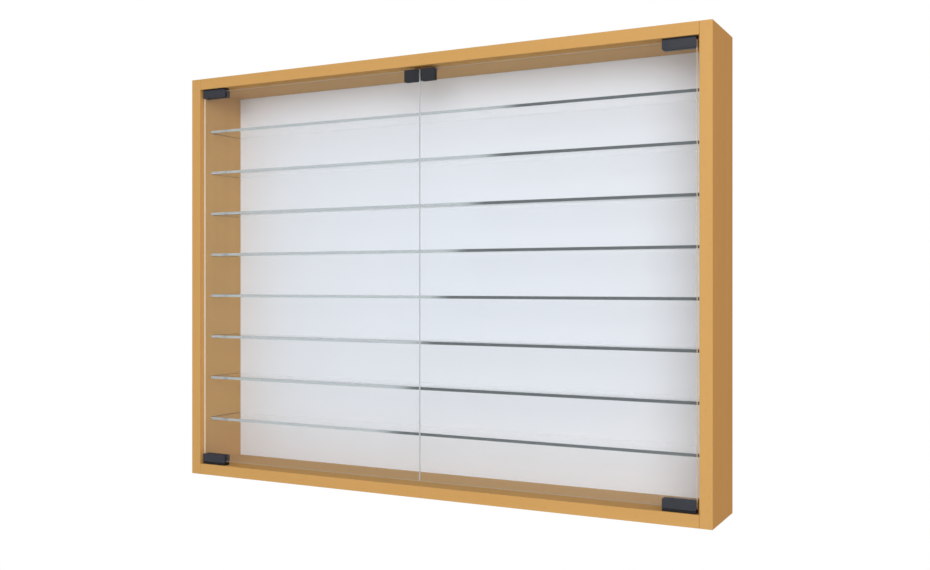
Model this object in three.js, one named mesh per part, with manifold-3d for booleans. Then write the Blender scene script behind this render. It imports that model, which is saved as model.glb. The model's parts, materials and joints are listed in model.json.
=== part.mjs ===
// Wall mounted showcase: a shallow wooden cabinet with a white back panel, eight glass shelves in
// grooves and two frameless glass doors that pivot in black corner clamps.
//
// Millimetres. +X runs to the right, +Y towards the wall, +Z up. The origin is at the middle of the
// cabinet's underside. "side" is -1 for the left and +1 for the right. "level" is -1 for the bottom
// board and +1 for the top board, and a depth in a board counts outwards from its inner face.

import * as THREE from 'three';
import { mergeVertices } from 'three/addons/utils/BufferGeometryUtils.js';
import Module from 'manifold-3d';

const wasm = await Module();
wasm.setup();

// Cabinet
const WIDTH = 800;
const HEIGHT = 600;
const DEPTH = 100;
const BOARD = 16;
const JOINT_GAP = 0.2;
const CLEARANCE = 0.3;

// Back panel and its groove
const BACK_THICKNESS = 3;
const BACK_INSET = 4;
const BACK_GROOVE_DEPTH = 5;

// Glass shelves
const SHELF_COUNT = 8;
const SHELF_PITCH = 63;
const SHELF_THICKNESS = 4;
const TOP_CLEAR_HEIGHT = 59;
const SHELF_SETBACK = 25;
const SHELF_BITE = 5;
const SHELF_REAR_GAP = 1;

// Doors
const DOOR_THICKNESS = 4;
const DOOR_SETBACK = 4;
const DOOR_SIDE_GAP = 4;
const DOOR_TOP_GAP = 4.5;
const DOOR_BOTTOM_GAP = 6;
const DOOR_MEETING_GAP = 2;

// Hinge clamps, their pivot pins and the bearings that the pins turn in
const CLAMP_LENGTH = 42;
const CLAMP_HEIGHT = 12;
const CLAMP_OVERHANG = 2.5;
const CLAMP_FRONT_WALL = 2;
const CLAMP_REAR_WALL = 5.5;
const CLAMP_CORNER = 1.2;
const CLAMP_SCREW_INSET = 29;
const CLAMP_SCREW_DROP = 7.5;
const CLAMP_SCREW_RADIUS = 2;
const CLAMP_SCREW_SINK = 0.1;
const PIVOT_INSET = 8.7;
const PIVOT_SETBACK = 6.5;
const PIN_RADIUS = 2.5;
const PIN_LENGTH = 12;
const PIN_GAP = 0.5;
const BEARING_SETBACK = 1.5;
const BEARING_BOSS_RADIUS = 4;
const BEARING_BOSS_LENGTH = 10;
const BEARING_FLOOR = 0.7;

// Strike clips and magnetic latch
const STRIKE_WIDTH = 22;
const STRIKE_DROP = 16;
const STRIKE_SHEET = 0.6;
const STRIKE_FROM_MIDDLE = 2;
const LATCH_WIDTH = 26;
const LATCH_HEIGHT = 15;
const LATCH_FRONT = -38.5;
const LATCH_REAR = -26;
const LATCH_TAB_REAR = -18;
const LATCH_TAB_WIDTH = 16;
const LATCH_TAB_THICKNESS = 2.5;
const PLUNGER_SPACING = 12.4;
const PLUNGER_DROP = 9.5;
const PLUNGER_STANDOUT = 2.3;
const PLUNGER_SHAFT_RADIUS = 3.2;
const PLUNGER_FLANGE_RADIUS = 4;
const PLUNGER_FLANGE = 1.6;
const LATCH_LIP = 1.2;
const LATCH_BORE_END = -28.5;
const MAGNET_RADIUS = 2.5;
const MAGNET_THICKNESS = 1.5;
const SPRING_RADIUS = 2.9;
const SPRING_WIRE_RADIUS = 0.3;
const SPRING_TURNS = 4;
const SPRING_STEPS_PER_TURN = 8;
const LATCH_SCREW_SPACING = 8;
const LATCH_SCREW_Y = -22;
const LATCH_SCREW_RADIUS = 1.45;
const LATCH_PILOT_DEPTH = 10.5;

// Corner joints
const JOINT_MID = BOARD / 2;
const CAM_RADIUS = 7.5;
const CAM_HEIGHT = 13;
const CAM_SINK = 0.5;
const CAM_FROM_END = 24;
const CAM_Y = 15;
const BOLT_THREAD_RADIUS = 2.5;
const BOLT_THREAD_REACH = 11;
const BOLT_PASSAGE_RADIUS = 4;
const DOWEL_RADIUS = 4;
const DOWEL_LENGTH = 30;
const DOWEL_IN_SIDE = 10;
const DOWEL_Y = -22;

// Hanger plates, let into the rear edges of the side panels
const HANGER_WIDTH = 11;
const HANGER_HEIGHT = 50;
const HANGER_THICKNESS = 2;
const HANGER_CENTRE_Z = 555;
const HANGER_FROM_OUTSIDE = 7;
const KEYHOLE_RADIUS = 4;
const KEYHOLE_SLOT_RADIUS = 2.2;
const KEYHOLE_DROP = 7;
const KEYHOLE_RISE = 6;
const HANGER_SCREW_REACH = 20;
const HANGER_SCREW_RADIUS = 1.5;
const HANGER_SCREW_LENGTH = 14.6;

const ROUND_SIDES = 16;

// Planes that follow from the sizes above
const HALF_WIDTH = WIDTH / 2;
const MID_HEIGHT = HEIGHT / 2;
const FRONT = -DEPTH / 2;
const REAR = DEPTH / 2;
const INNER_HALF_WIDTH = HALF_WIDTH - BOARD;
const INNER_RISE = MID_HEIGHT - BOARD;
const BACK_REAR_FACE = REAR - BACK_INSET;
const BACK_FRONT_FACE = BACK_REAR_FACE - BACK_THICKNESS;
const GLASS_FRONT = FRONT + DOOR_SETBACK;
const GLASS_REAR = GLASS_FRONT + DOOR_THICKNESS;
const CLAMP_FRONT = GLASS_FRONT - CLEARANCE - CLAMP_FRONT_WALL;
const CLAMP_REAR = GLASS_REAR + CLEARANCE + CLAMP_REAR_WALL;
const CLAMP_OUTER_X = INNER_HALF_WIDTH - DOOR_SIDE_GAP - CLEARANCE;
const PIVOT_X = CLAMP_OUTER_X - PIVOT_INSET;
const PIVOT_Y = FRONT + PIVOT_SETBACK;
const PLUNGER_FRONT = LATCH_FRONT - PLUNGER_STANDOUT;
const SIDES = { left: -1, right: 1 };
const LEVELS = { top: 1, bottom: -1 };

// How far a piece let into a groove stays clear of the groove's end, and how far a cutter starts outside.
const END_GAP = 0.4;
const RUN_OUT = 1;

// Finishes
function finish(color, roughness, metalness, opacity = 1) {
  return new THREE.MeshStandardMaterial({ color, roughness, metalness, opacity, transparent: opacity < 1 });
}
const beech = finish(0xcb9c60, 0.5, 0);
const whiteBoard = finish(0xe2e9ee, 0.55, 0);
const clearGlass = finish(0xbfd6d2, 0.05, 0, 0.3);
const blackPlastic = finish(0x2b2d33, 0.45, 0);
const blackSteel = finish(0x26282d, 0.4, 0.6);
const brownPlastic = finish(0x8a5a34, 0.5, 0);
const brightSteel = finish(0xb8bcc0, 0.3, 1);
const castZinc = finish(0x9c9fa3, 0.45, 1);
const beechDowel = finish(0xd9b98a, 0.7, 0);
const magnetBlack = finish(0x33343a, 0.55, 0.4);

// Height of a point at a depth in the top or bottom board.
function boardZ(level, depth) {
  return MID_HEIGHT + level * (INNER_RISE + depth);
}

// Height of the doors' edge next to the top or bottom board, and of the clamps' outer edge past it.
function doorEdgeZ(level) {
  return boardZ(level, -(level > 0 ? DOOR_TOP_GAP : DOOR_BOTTOM_GAP));
}

function clampEdgeZ(level) {
  return doorEdgeZ(level) + level * CLAMP_OVERHANG;
}

// A block between two planes on each axis, given in either order.
function block(x0, x1, y0, y1, z0, z1) {
  const geometry = new THREE.BoxGeometry(Math.abs(x1 - x0), Math.abs(y1 - y0), Math.abs(z1 - z0));
  return geometry.translate((x0 + x1) / 2, (y0 + y1) / 2, (z0 + z1) / 2);
}

// Turns a geometry made about the Y axis so that its +Y end points along +x, -x, +y, -y, +z or -z.
function pointed(geometry, way) {
  if (way === '+x') geometry.rotateZ(-Math.PI / 2);
  if (way === '-x') geometry.rotateZ(Math.PI / 2);
  if (way === '-y') geometry.rotateX(Math.PI);
  if (way === '+z') geometry.rotateX(Math.PI / 2);
  if (way === '-z') geometry.rotateX(-Math.PI / 2);
  return geometry;
}

// A rod that starts at a point and runs a length along one way.
function rod(radius, length, way, x, y, z, sides = ROUND_SIDES) {
  const geometry = new THREE.CylinderGeometry(radius, radius, length, sides).translate(0, length / 2, 0);
  return pointed(geometry, way).translate(x, y, z);
}

// A turned piece: pairs of radius and distance along the way, from its start, outer wall outwards.
function turned(profile, way, x = 0, y = 0, z = 0) {
  const points = profile.map(([radius, along]) => new THREE.Vector2(radius, along));
  return pointed(new THREE.LatheGeometry(points, ROUND_SIDES), way).translate(x, y, z);
}

// A closed geometry as a solid that can be joined and cut.
function solid(geometry) {
  const bare = geometry.clone();
  bare.deleteAttribute('normal');
  bare.deleteAttribute('uv');
  const merged = mergeVertices(bare, 1e-5);
  const index = merged.index.array;
  const triangles = [];
  for (let i = 0; i < index.length; i += 3) {
    const [a, b, c] = [index[i], index[i + 1], index[i + 2]];
    if (a !== b && b !== c && c !== a) triangles.push(a, b, c);
  }
  return new wasm.Manifold(new wasm.Mesh({
    numProp: 3,
    vertProperties: Float32Array.from(merged.attributes.position.array),
    triVerts: Uint32Array.from(triangles),
  }));
}

function geometryOf(manifold) {
  const result = manifold.getMesh();
  const geometry = new THREE.BufferGeometry();
  geometry.setAttribute('position', new THREE.BufferAttribute(result.vertProperties, 3));
  geometry.setIndex(new THREE.BufferAttribute(result.triVerts, 1));
  geometry.computeVertexNormals();
  return geometry;
}

// The first geometry with all the others taken out of it.
function cut(body, cutters) {
  const rest = cutters.reduce((left, cutter) => left.subtract(solid(cutter)), solid(body));
  return geometryOf(rest);
}

// A rectangle with round corners about the origin.
function roundedRectangle(width, height, radius) {
  const [x, y] = [width / 2, height / 2];
  const shape = new THREE.Shape();
  shape.moveTo(-x + radius, -y);
  shape.lineTo(x - radius, -y);
  shape.absarc(x - radius, -y + radius, radius, -Math.PI / 2, 0);
  shape.lineTo(x, y - radius);
  shape.absarc(x - radius, y - radius, radius, 0, Math.PI / 2);
  shape.lineTo(-x + radius, y);
  shape.absarc(-x + radius, y - radius, radius, Math.PI / 2, Math.PI);
  shape.lineTo(-x, -y + radius);
  shape.absarc(-x + radius, -y + radius, radius, Math.PI, Math.PI * 1.5);
  return shape;
}

// A shape drawn in the X-Z plane, as a plate between two planes on Y.
function plate(shape, yFront, yRear, curveSegments = 2) {
  const geometry = new THREE.ExtrudeGeometry(shape, {
    depth: yRear - yFront,
    bevelEnabled: false,
    curveSegments,
  });
  return geometry.rotateX(Math.PI / 2).translate(0, yRear, 0);
}

function piece(name, geometry, material, x = 0, y = 0, z = 0) {
  const mesh = new THREE.Mesh(geometry, material);
  mesh.name = name;
  mesh.position.set(x, y, z);
  return mesh;
}

function shelfHeight(number) {
  const top = MID_HEIGHT + INNER_RISE - TOP_CLEAR_HEIGHT - SHELF_THICKNESS / 2;
  return top - SHELF_PITCH * (number - 1);
}

function shelfNumbers() {
  return Array.from({ length: SHELF_COUNT }, (_, i) => i + 1);
}

// Cross recess of a screw or cam, sunk from its top face at the origin down along -Y.
function crossRecess(span, width, depth) {
  return [
    block(-span / 2, span / 2, -depth, 1, -width / 2, width / 2),
    block(-width / 2, width / 2, -depth, 1, -span / 2, span / 2),
  ];
}

// ---- Cabinet boards

// Side panels run the full height. Grooves take the back panel and the shelves, and holes take the
// cam bolts and dowels of the top and bottom boards and the hanger plate at the rear.
function sidePanel(side) {
  const inner = side * INNER_HALF_WIDTH;
  const open = inner - side * RUN_OUT;
  const shelfEnd = inner + side * SHELF_BITE;
  const shelfGroove = SHELF_THICKNESS / 2 + CLEARANCE;
  const backGroove = BACK_GROOVE_DEPTH + RUN_OUT;
  const hangerX = side * (HALF_WIDTH - HANGER_FROM_OUTSIDE);
  const pocketWidth = KEYHOLE_RADIUS + CLEARANCE;
  const pocketFront = BACK_FRONT_FACE - RUN_OUT;
  const pocketLow = HANGER_CENTRE_Z - KEYHOLE_DROP;
  const pocketHigh = HANGER_CENTRE_Z + KEYHOLE_RISE;
  const plateFront = REAR - HANGER_THICKNESS;
  const into = side > 0 ? '+x' : '-x';
  const cutters = [
    block(open, inner + side * BACK_GROOVE_DEPTH, BACK_FRONT_FACE - CLEARANCE, BACK_REAR_FACE + CLEARANCE,
      boardZ(-1, backGroove), boardZ(1, backGroove)),
    block(hangerX - HANGER_WIDTH / 2 - CLEARANCE, hangerX + HANGER_WIDTH / 2 + CLEARANCE,
      plateFront - CLEARANCE, REAR + RUN_OUT,
      HANGER_CENTRE_Z - HANGER_HEIGHT / 2 - CLEARANCE, HANGER_CENTRE_Z + HANGER_HEIGHT / 2 + CLEARANCE),
    block(hangerX - pocketWidth, hangerX + pocketWidth, pocketFront, plateFront, pocketLow, pocketHigh),
    rod(pocketWidth, plateFront - pocketFront, '+y', hangerX, pocketFront, pocketLow),
    rod(pocketWidth, plateFront - pocketFront, '+y', hangerX, pocketFront, pocketHigh),
  ];
  for (const number of shelfNumbers()) {
    const z = shelfHeight(number);
    const grooveFront = FRONT + SHELF_SETBACK - CLEARANCE;
    cutters.push(block(open, shelfEnd, grooveFront, BACK_FRONT_FACE, z - shelfGroove, z + shelfGroove));
  }
  for (const level of Object.values(LEVELS)) {
    const z = boardZ(level, JOINT_MID);
    const boltDepth = BOLT_THREAD_REACH + RUN_OUT + CLEARANCE;
    const dowelDepth = DOWEL_IN_SIDE + RUN_OUT + CLEARANCE;
    const screwZ = HANGER_CENTRE_Z + level * HANGER_SCREW_REACH;
    const screwDepth = HANGER_SCREW_LENGTH + CLEARANCE;
    cutters.push(rod(BOLT_THREAD_RADIUS + CLEARANCE, boltDepth, into, open, CAM_Y, z));
    cutters.push(rod(DOWEL_RADIUS + CLEARANCE, dowelDepth, into, open, DOWEL_Y, z));
    cutters.push(rod(HANGER_SCREW_RADIUS + CLEARANCE, screwDepth, '-y', hangerX, REAR, screwZ));
  }
  return cut(block(inner, side * HALF_WIDTH, FRONT, REAR, 0, HEIGHT), cutters);
}

// The top and bottom boards lie between the side panels.
function levelPanel(level) {
  const halfLength = INNER_HALF_WIDTH - JOINT_GAP;
  const outward = level > 0 ? '+z' : '-z';
  const inward = level > 0 ? '-z' : '+z';
  const camDepth = CAM_HEIGHT + CAM_SINK + CLEARANCE + RUN_OUT;
  const openZ = boardZ(level, -RUN_OUT);
  const cutters = [
    block(-INNER_HALF_WIDTH, INNER_HALF_WIDTH, BACK_FRONT_FACE - CLEARANCE, BACK_REAR_FACE + CLEARANCE,
      openZ, boardZ(level, BACK_GROOVE_DEPTH + RUN_OUT)),
  ];
  for (const side of Object.values(SIDES)) {
    const into = side > 0 ? '-x' : '+x';
    const middle = boardZ(level, JOINT_MID);
    const end = side * INNER_HALF_WIDTH;
    const camX = end - side * CAM_FROM_END;
    const camTop = boardZ(level, BOARD + RUN_OUT);
    const bossDepth = BEARING_BOSS_LENGTH + RUN_OUT + CLEARANCE;
    const dowelDepth = DOWEL_LENGTH - DOWEL_IN_SIDE + CLEARANCE;
    cutters.push(
      rod(BEARING_BOSS_RADIUS + CLEARANCE, bossDepth, outward, side * PIVOT_X, PIVOT_Y, openZ),
      rod(CAM_RADIUS + CLEARANCE, camDepth, inward, camX, CAM_Y, camTop),
      rod(BOLT_PASSAGE_RADIUS + CLEARANCE, CAM_FROM_END, into, end, CAM_Y, middle),
      rod(DOWEL_RADIUS + CLEARANCE, dowelDepth, into, end, DOWEL_Y, middle),
    );
    if (level > 0) {
      const screwX = side * LATCH_SCREW_SPACING / 2;
      const pilotDepth = LATCH_PILOT_DEPTH + RUN_OUT;
      cutters.push(rod(LATCH_SCREW_RADIUS + CLEARANCE, pilotDepth, outward, screwX, LATCH_SCREW_Y, openZ));
    }
  }
  return cut(block(-halfLength, halfLength, FRONT, REAR, boardZ(level, 0), boardZ(level, BOARD)), cutters);
}

function backPanel() {
  const halfWidth = INNER_HALF_WIDTH + BACK_GROOVE_DEPTH - END_GAP;
  const reach = BACK_GROOVE_DEPTH + RUN_OUT - END_GAP;
  return block(-halfWidth, halfWidth, BACK_FRONT_FACE, BACK_REAR_FACE, boardZ(-1, reach), boardZ(1, reach));
}

function shelf() {
  const halfLength = INNER_HALF_WIDTH + SHELF_BITE - END_GAP;
  const half = SHELF_THICKNESS / 2;
  return block(-halfLength, halfLength, FRONT + SHELF_SETBACK, BACK_FRONT_FACE - SHELF_REAR_GAP, -half, half);
}

// ---- Corner joints of the boards

// A cam lies in its board with its cross recess outwards. A passage in its rim takes the bolt's head,
// which lies a little nearer to the board's inner face than the middle of the cam.
function camLock(side, level) {
  const half = CAM_HEIGHT / 2;
  const passage = 3.9;
  const boltLow = boardZ(1, BOARD - CAM_SINK - half) - boardZ(1, JOINT_MID);
  const recess = { span: 8, width: 1.6, depth: 2 };
  const body = cut(rod(CAM_RADIUS, CAM_HEIGHT, '+y', 0, -half, 0), [
    block(-passage, CAM_RADIUS + RUN_OUT, -passage - boltLow, passage - boltLow, -passage, passage),
    ...crossRecess(recess.span, recess.width, recess.depth).map((slot) => slot.translate(0, half, 0)),
  ]);
  pointed(body, '+z');
  if (level < 0) body.rotateX(Math.PI);
  if (side < 0) body.rotateZ(Math.PI);
  return body;
}

// A bolt that screws into the side panel; its neck and head reach into the cam.
function camBolt(side) {
  const profile = [
    [0, -26.2], [2.2, -26.2], [3.2, -25.4], [3.2, -23.4], [2.2, -22.6], [2, -4.5], [3.4, -3.8], [3.4, -0.4],
    [BOLT_THREAD_RADIUS, -0.4], [BOLT_THREAD_RADIUS, 9.6], [1.2, BOLT_THREAD_REACH], [0, BOLT_THREAD_REACH],
  ];
  return turned(profile, side > 0 ? '+x' : '-x');
}

function dowel() {
  const half = DOWEL_LENGTH / 2 - CLEARANCE;
  const chamfer = 1;
  const profile = [
    [0, -half], [DOWEL_RADIUS - chamfer, -half], [DOWEL_RADIUS, -half + chamfer],
    [DOWEL_RADIUS, half - chamfer], [DOWEL_RADIUS - chamfer, half], [0, half],
  ];
  return turned(profile, '+x');
}

function cornerJoint(sideName, side, levelName, level) {
  const end = side * INNER_HALF_WIDTH;
  const middle = boardZ(level, JOINT_MID);
  const camX = end - side * CAM_FROM_END;
  const camMiddle = boardZ(level, BOARD - CAM_SINK - CAM_HEIGHT / 2);
  const dowelX = end - side * (DOWEL_LENGTH / 2 - DOWEL_IN_SIDE);
  const corner = `${levelName}_${sideName}`;
  return [
    piece(`cam_lock_${corner}`, camLock(side, level), castZinc, camX, CAM_Y, camMiddle),
    piece(`cam_bolt_${corner}`, camBolt(side), brightSteel, end, CAM_Y, middle),
    piece(`dowel_${corner}`, dowel(), beechDowel, dowelX, DOWEL_Y, middle),
  ];
}

// ---- Hangers

// Plate with a keyhole: the wall screw's head goes in at the round end and the plate drops onto it.
function hangerPlate() {
  const cornerRadius = 2;
  const curveSegments = 5;
  const shape = roundedRectangle(HANGER_WIDTH, HANGER_HEIGHT, cornerRadius);
  const meet = Math.asin(KEYHOLE_SLOT_RADIUS / KEYHOLE_RADIUS);
  const keyhole = new THREE.Path();
  keyhole.absarc(0, -KEYHOLE_DROP, KEYHOLE_RADIUS, Math.PI / 2 + meet, Math.PI * 2.5 - meet);
  keyhole.lineTo(KEYHOLE_SLOT_RADIUS, KEYHOLE_RISE);
  keyhole.absarc(0, KEYHOLE_RISE, KEYHOLE_SLOT_RADIUS, 0, Math.PI);
  keyhole.closePath();
  shape.holes.push(keyhole);
  const sunk = 4;
  const countersink = [[0, 0], [1.8, 0], [1.8, 2.2], [3.4, sunk], [3.4, sunk + RUN_OUT], [0, sunk + RUN_OUT]];
  const sinks = [-1, 1].map((way) => turned(countersink, '+y', 0, REAR - sunk, way * HANGER_SCREW_REACH));
  return cut(plate(shape, REAR - HANGER_THICKNESS, REAR, curveSegments), sinks);
}

// Countersunk screw whose head lies in the hanger plate, its tip in the side panel.
function hangerScrew() {
  const profile = [
    [0, -HANGER_SCREW_LENGTH], [0.6, -HANGER_SCREW_LENGTH], [HANGER_SCREW_RADIUS, -12.5],
    [HANGER_SCREW_RADIUS, -2], [3, -0.3], [3, -0.1], [0, -0.1],
  ];
  const recess = { span: 3, width: 0.8, depth: 1.2 };
  return cut(turned(profile, '+y'), crossRecess(recess.span, recess.width, recess.depth));
}

// ---- Doors

// Distance from the pivot towards the middle of the door, as a position on X inside the door's group.
function fromPivot(side, distance) {
  return -side * distance;
}

function doorGlass(side) {
  const outer = fromPivot(side, PIVOT_X - (INNER_HALF_WIDTH - DOOR_SIDE_GAP));
  const inner = fromPivot(side, PIVOT_X - DOOR_MEETING_GAP / 2);
  return block(outer, inner, GLASS_FRONT - PIVOT_Y, GLASS_REAR - PIVOT_Y, doorEdgeZ(-1), doorEdgeZ(1));
}

// Height of the screw that grips the glass in a clamp.
function clampScrewZ(level) {
  return clampEdgeZ(level) - level * CLAMP_SCREW_DROP;
}

// Clamp that grips a corner of the door: a front and a rear wall and a wall over the glass's edge that
// holds the pivot pin. The glass runs through it from end to end.
function hingeClamp(side, level) {
  const outer = fromPivot(side, -PIVOT_INSET);
  const centre = fromPivot(side, CLAMP_LENGTH / 2 - PIVOT_INSET);
  const edge = clampEdgeZ(level);
  const centreZ = edge - level * CLAMP_HEIGHT / 2;
  const slotEnd = doorEdgeZ(level) + level * CLEARANCE;
  const outline = roundedRectangle(CLAMP_LENGTH, CLAMP_HEIGHT, CLAMP_CORNER);
  const front = CLAMP_FRONT - PIVOT_Y;
  const rear = CLAMP_REAR - PIVOT_Y;
  const body = plate(outline, front, rear).translate(centre, 0, centreZ);
  const screwX = outer - side * CLAMP_SCREW_INSET;
  const screwDepth = CLAMP_REAR_WALL + 2 * RUN_OUT;
  return cut(body, [
    block(outer + side * RUN_OUT, fromPivot(side, CLAMP_LENGTH), front + CLAMP_FRONT_WALL,
      rear - CLAMP_REAR_WALL, slotEnd, edge - level * (CLAMP_HEIGHT + RUN_OUT)),
    rod(PIN_RADIUS + CLEARANCE, CLAMP_HEIGHT, level > 0 ? '+z' : '-z', 0, 0, slotEnd - level * RUN_OUT),
    rod(CLAMP_SCREW_RADIUS + CLEARANCE, screwDepth, '-y', screwX, rear + RUN_OUT, clampScrewZ(level)),
  ]);
}

// Pivot pin, one end in the clamp and the other in the bearing.
function pivotPin(level) {
  const chamfer = 0.6;
  const profile = [
    [0, 0], [PIN_RADIUS - chamfer, 0], [PIN_RADIUS, chamfer], [PIN_RADIUS, PIN_LENGTH - chamfer],
    [PIN_RADIUS - chamfer, PIN_LENGTH], [0, PIN_LENGTH],
  ];
  return turned(profile, level > 0 ? '+z' : '-z');
}

// Bearing for a pivot pin: a flat plate as long as the clamp, on the board's inner face, with a blind
// boss let into the board. Its origin is on the pivot axis at the board's inner face.
function pivotBearing(side, level) {
  const outward = level > 0 ? '+z' : '-z';
  const thickness = Math.abs(boardZ(level, 0) - clampEdgeZ(level)) - CLEARANCE;
  const outer = fromPivot(side, -PIVOT_INSET);
  const inner = fromPivot(side, CLAMP_LENGTH - PIVOT_INSET);
  const front = CLAMP_FRONT + BEARING_SETBACK - PIVOT_Y;
  const rear = CLAMP_REAR - BEARING_SETBACK - PIVOT_Y;
  const overlap = thickness / 2;
  const boreStart = thickness + RUN_OUT;
  const boreLength = boreStart + BEARING_BOSS_LENGTH - BEARING_FLOOR;
  const base = block(outer, inner, front, rear, 0, -level * thickness);
  const boss = rod(BEARING_BOSS_RADIUS, BEARING_BOSS_LENGTH + overlap, outward, 0, 0, -level * overlap);
  const bore = rod(PIN_RADIUS + CLEARANCE, boreLength, outward, 0, 0, -level * boreStart);
  return geometryOf(solid(base).add(solid(boss)).subtract(solid(bore)));
}

// Socket-head grub screw that presses on the glass from the rear wall of the clamp.
function clampScrew() {
  const length = CLAMP_REAR_WALL - END_GAP;
  const socket = { radius: 1, depth: 1.8, sides: 6 };
  return cut(rod(CLAMP_SCREW_RADIUS, length, '-y', 0, 0, 0), [
    rod(socket.radius, socket.depth + RUN_OUT, '+y', 0, -socket.depth, 0, socket.sides),
  ]);
}

// Folded steel clip over the top edge of the door, which the latch's magnet holds.
function strikeClip(side) {
  const inner = fromPivot(side, PIVOT_X - STRIKE_FROM_MIDDLE);
  const outer = inner + side * STRIKE_WIDTH;
  const front = GLASS_FRONT - CLEARANCE - PIVOT_Y;
  const rear = GLASS_REAR + CLEARANCE - PIVOT_Y;
  const glassEdge = doorEdgeZ(1);
  const fold = glassEdge + CLEARANCE;
  const foot = glassEdge - STRIKE_DROP;
  return cut(block(inner, outer, front - STRIKE_SHEET, rear + STRIKE_SHEET, foot, fold + STRIKE_SHEET), [
    block(inner - side * RUN_OUT, outer + side * RUN_OUT, front, rear, foot - RUN_OUT, fold),
  ]);
}

// A door is a group whose origin is its pivot axis.
function door(sideName, side) {
  const group = new THREE.Group();
  group.position.set(side * PIVOT_X, PIVOT_Y, 0);
  group.add(piece(`door_glass_${sideName}`, doorGlass(side), clearGlass));
  group.add(piece(`strike_clip_${sideName}`, strikeClip(side), blackSteel));
  const screwX = fromPivot(side, CLAMP_SCREW_INSET - PIVOT_INSET);
  const screwY = CLAMP_REAR - PIVOT_Y - CLAMP_SCREW_SINK;
  for (const [levelName, level] of Object.entries(LEVELS)) {
    const corner = `${levelName}_${sideName}`;
    const pinZ = doorEdgeZ(level) + level * PIN_GAP;
    group.add(piece(`hinge_clamp_${corner}`, hingeClamp(side, level), blackPlastic));
    group.add(piece(`hinge_pin_${corner}`, pivotPin(level), brightSteel, 0, 0, pinZ));
    group.add(piece(`clamp_screw_${corner}`, clampScrew(), brightSteel, screwX, screwY, clampScrewZ(level)));
  }
  return group;
}

// ---- Latch under the top board

function plungerZ() {
  return boardZ(1, -PLUNGER_DROP);
}

// One housing for both doors, screwed to the top board by a tab at its rear.
function latchHousing() {
  const top = boardZ(1, 0);
  const half = LATCH_WIDTH / 2;
  const tabHalf = LATCH_TAB_WIDTH / 2;
  const tabFoot = top - LATCH_TAB_THICKNESS;
  const tab = block(-tabHalf, tabHalf, LATCH_REAR - RUN_OUT, LATCH_TAB_REAR, tabFoot, top);
  const body = solid(block(-half, half, LATCH_FRONT, LATCH_REAR, top - LATCH_HEIGHT, top)).add(solid(tab));
  const boreFront = LATCH_FRONT + LATCH_LIP;
  const boreLength = LATCH_BORE_END - boreFront;
  const mouthStart = LATCH_FRONT - RUN_OUT;
  const mouthLength = LATCH_LIP + 2 * RUN_OUT;
  const screwRun = LATCH_TAB_THICKNESS + 2 * RUN_OUT;
  const z = plungerZ();
  const cutters = Object.values(SIDES).flatMap((side) => {
    const x = side * PLUNGER_SPACING / 2;
    const screwX = side * LATCH_SCREW_SPACING / 2;
    return [
      rod(PLUNGER_SHAFT_RADIUS + CLEARANCE, mouthLength, '+y', x, mouthStart, z),
      rod(PLUNGER_FLANGE_RADIUS + CLEARANCE, boreLength, '+y', x, boreFront, z),
      rod(LATCH_SCREW_RADIUS + CLEARANCE, screwRun, '+z', screwX, LATCH_SCREW_Y, tabFoot - RUN_OUT),
    ];
  });
  return geometryOf(cutters.reduce((left, cutter) => left.subtract(solid(cutter)), body));
}

// Plunger that runs in the housing's bore: a recess for the magnet in front, a flange that stops
// behind the housing's lip and a post for the spring. Its front face is at the origin.
function latchPlunger() {
  const flangeFront = PLUNGER_STANDOUT + LATCH_LIP + CLEARANCE;
  const flangeRear = flangeFront + PLUNGER_FLANGE;
  const recess = MAGNET_THICKNESS + CLEARANCE;
  const post = { radius: 1.5, end: flangeRear + 2.5 };
  return turned([
    [0, recess], [MAGNET_RADIUS + CLEARANCE, recess], [MAGNET_RADIUS + CLEARANCE, 0],
    [PLUNGER_SHAFT_RADIUS, 0], [PLUNGER_SHAFT_RADIUS, flangeFront], [PLUNGER_FLANGE_RADIUS, flangeFront],
    [PLUNGER_FLANGE_RADIUS, flangeRear], [post.radius, flangeRear], [post.radius, post.end], [0, post.end],
  ], '+y');
}

class Helix extends THREE.Curve {
  constructor(radius, length, turns) {
    super();
    Object.assign(this, { radius, length, turns });
  }

  getPoint(t, target = new THREE.Vector3()) {
    const angle = t * this.turns * Math.PI * 2;
    return target.set(this.radius * Math.cos(angle), this.length * t, this.radius * Math.sin(angle));
  }
}

// Compression spring between the plunger's flange and the end of the bore.
function latchSpring(length) {
  const wire = new THREE.Shape();
  wire.absarc(0, 0, SPRING_WIRE_RADIUS, 0, Math.PI * 2);
  const run = length - SPRING_WIRE_RADIUS * 2;
  const geometry = new THREE.ExtrudeGeometry(wire, {
    steps: SPRING_TURNS * SPRING_STEPS_PER_TURN,
    curveSegments: 3,
    extrudePath: new Helix(SPRING_RADIUS, run, SPRING_TURNS),
  });
  return geometry.translate(0, SPRING_WIRE_RADIUS, 0);
}

function latchScrew() {
  const headTop = -1.6;
  const profile = [
    [0, headTop], [1.8, headTop], [2.5, -1], [2.5, -0.1], [LATCH_SCREW_RADIUS, -0.1],
    [LATCH_SCREW_RADIUS, 10.5], [0.6, 12.5], [0, 12.5],
  ];
  const recess = { span: 2.8, width: 0.7, depth: 1 };
  const slots = crossRecess(recess.span, recess.width, recess.depth);
  slots.forEach((slot) => slot.rotateX(Math.PI).translate(0, headTop, 0));
  return pointed(cut(turned(profile, '+y'), slots), '+z');
}

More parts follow.
